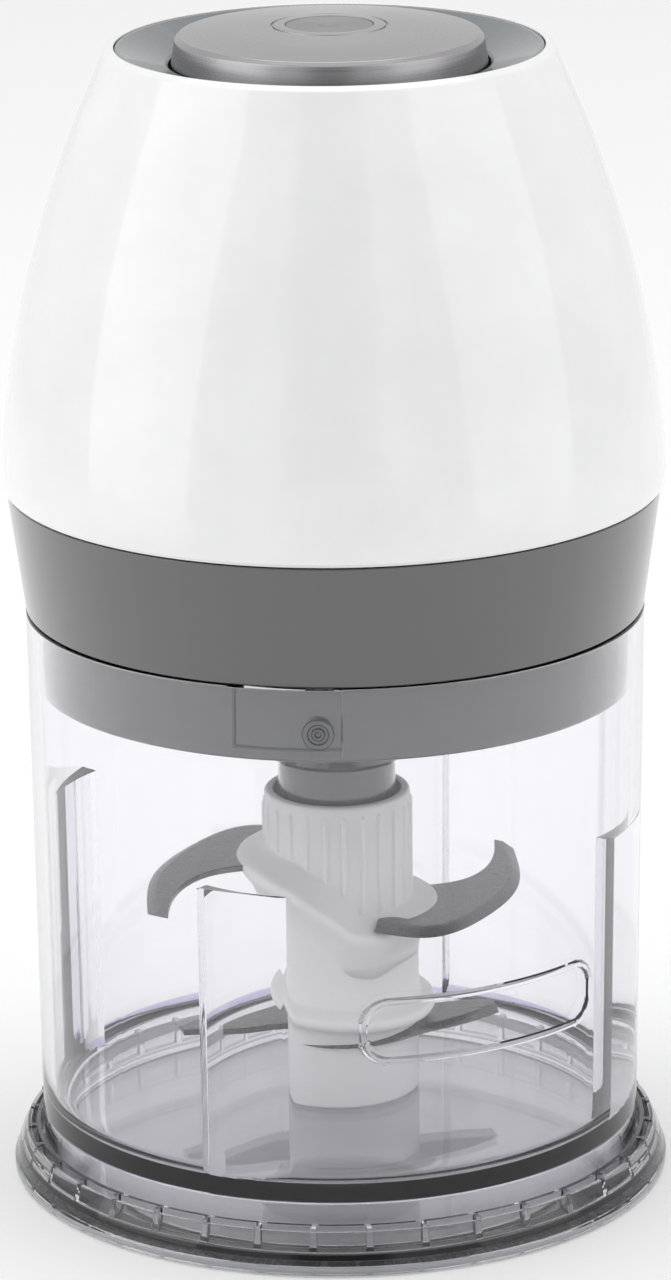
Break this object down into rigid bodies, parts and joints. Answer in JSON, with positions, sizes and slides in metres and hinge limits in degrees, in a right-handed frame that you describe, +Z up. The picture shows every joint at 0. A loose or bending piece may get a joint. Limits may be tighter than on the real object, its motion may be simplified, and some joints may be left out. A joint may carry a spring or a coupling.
{
  "type": "food processor",
  "caption": "Top-motor food processor: clear bowl on a ribbed clear base disc, white motor unit with a metal push button, hub with sickle blades.",
  "frame": {"origin": "centre of the base disc where it stands on the worktop", "axes": "+Z up along the blade axis, -Y towards the user (bayonet lug and front of the shell), +X to the right"},
  "size_m": [0.151, 0.1523, 0.2659],
  "materials": {
    "clear_smoke": "clear, smoke tinted, polished",
    "clear_soft": "translucent soft rubber",
    "clear_bowl": "water clear, polished, violet edge glow",
    "steel": "turned",
    "natural_plastic": "natural",
    "white_hub": "satin, slightly translucent",
    "blade_steel": "dark brushed with ground bevel",
    "light_grey": "fine satin",
    "bronze": "sintered",
    "gear_plastic": "natural acetal",
    "black_plastic": "moulded",
    "rubber": "matte",
    "aluminium": "die cast",
    "lamination": "stacked sheet",
    "copper": "enamelled winding",
    "brass": "pressed",
    "carbon": "graphite",
    "mid_grey": "fine satin",
    "white_gloss": "high gloss",
    "dark_grey": "semi gloss",
    "button_metal": "spun",
    "badge_metal": "fine brushed",
    "yellow_film": "potted box"
  },
  "bodies": {
    "base": {"base_disc": "clear_smoke", "nonslip_ring": "clear_soft"},
    "bowl": {"bowl": "clear_bowl", "bowl_pin": "steel", "thrust_washer": "natural_plastic"},
    "button": {"button_cap": "button_metal", "button_badge": "badge_metal", "button_carrier": "black_plastic"},
    "switch_lever": {"switch_lever": "steel"},
    "interlock_pin": {"interlock_pin": "natural_plastic"},
    "rotor": {"motor_shaft": "steel", "rotor_core": "lamination", "rotor_windings": "copper", "commutator": "copper", "fan": "black_plastic", "sun_gear": "steel"},
    "carrier": {"planet_carrier": "steel", "planet_pins": "steel", "carrier_cap": "steel", "drive_coupling": "gear_plastic"},
    "planet_1": {"planet_gear_1": "gear_plastic"},
    "planet_2": {"planet_gear_2": "gear_plastic"},
    "planet_3": {"planet_gear_3": "gear_plastic"},
    "blade_unit": {"blade_hub": "white_hub", "upper_blade": "blade_steel", "lower_blade": "blade_steel"},
    "motor_unit": {"brush_springs": "steel", "brush_tubes": "brass", "button_spring": "steel", "capacitor": "yellow_film", "carbon_brushes": "carbon", "collar": "mid_grey", "cord_gland": "rubber", "cover_screws": "steel", "dish_ring": "dark_grey", "field_coils": "copper", "gearbox_cover": "black_plastic", "interlock_spring": "steel", "interlock_switch": "black_plastic", "lower_bearing": "steel", "lower_cover": "light_grey", "lower_frame": "aluminium", "main_switch": "black_plastic", "motor_mount": "rubber", "motor_screws": "steel", "motor_shell": "white_gloss", "output_bearing": "bronze", "ring_gear": "gear_plastic", "stator_core": "lamination", "switch_plate": "black_plastic", "upper_bearing": "steel", "upper_frame": "aluminium"}
  },
  "joints": [
    {"name": "bowl_lift", "type": "slide", "parent": "base", "child": "bowl", "axis": [0, 0, 1], "range_m": [0, 0.05]},
    {"name": "lock_twist", "type": "hinge", "parent": "bowl", "child": "motor_unit", "pos_m": [0, 0, 0.1236], "axis": [0, 0, 1], "range_deg": [-8, 0]},
    {"name": "button_press", "type": "slide", "parent": "motor_unit", "child": "button", "axis": [0, 0, 1], "range_m": [-0.003, 0], "stiffness_N_per_m": 900, "springref_m": 0.002, "deforming": ["button_spring"]},
    {"name": "switch_lever_tilt", "type": "hinge", "parent": "motor_unit", "child": "switch_lever", "pos_m": [0.021, 0, 0.2418], "axis": [0, 1, 0], "range_deg": [-8.4, 0]},
    {"name": "interlock_slide", "type": "slide", "parent": "motor_unit", "child": "interlock_pin", "axis": [0, 0, 1], "range_m": [-0.0021, 0], "deforming": ["interlock_spring"]},
    {"name": "rotor_spin", "type": "hinge", "parent": "motor_unit", "child": "rotor", "pos_m": [0, 0, 0.168], "axis": [0, 0, 1], "continuous": true},
    {"name": "carrier_spin", "type": "hinge", "parent": "motor_unit", "child": "carrier", "pos_m": [0, 0, 0.121], "axis": [0, 0, 1], "continuous": true},
    {"name": "blade_spin", "type": "hinge", "parent": "motor_unit", "child": "blade_unit", "pos_m": [0, 0, 0.06], "axis": [0, 0, 1], "continuous": true},
    {"name": "planet_1_spin", "type": "hinge", "parent": "carrier", "child": "planet_1", "pos_m": [0.0144, 0, 0.1266], "axis": [0, 0, 1], "continuous": true},
    {"name": "planet_2_spin", "type": "hinge", "parent": "carrier", "child": "planet_2", "pos_m": [-0.0072, 0.01247, 0.1266], "axis": [0, 0, 1], "continuous": true},
    {"name": "planet_3_spin", "type": "hinge", "parent": "carrier", "child": "planet_3", "pos_m": [-0.0072, -0.01247, 0.1266], "axis": [0, 0, 1], "continuous": true}
  ],
  "couplings": [
    {"joint": "switch_lever_tilt", "follows": "button_press", "rad_per_m": 47.619},
    {"joint": "interlock_slide", "follows": "lock_twist", "m_per_rad": 0.014324},
    {"joint": "carrier_spin", "follows": "rotor_spin", "ratio": 0.16667},
    {"joint": "blade_spin", "follows": "rotor_spin", "ratio": 0.16667},
    {"joint": "planet_1_spin", "follows": "rotor_spin", "ratio": -0.41667},
    {"joint": "planet_2_spin", "follows": "rotor_spin", "ratio": -0.41667},
    {"joint": "planet_3_spin", "follows": "rotor_spin", "ratio": -0.41667}
  ]
}
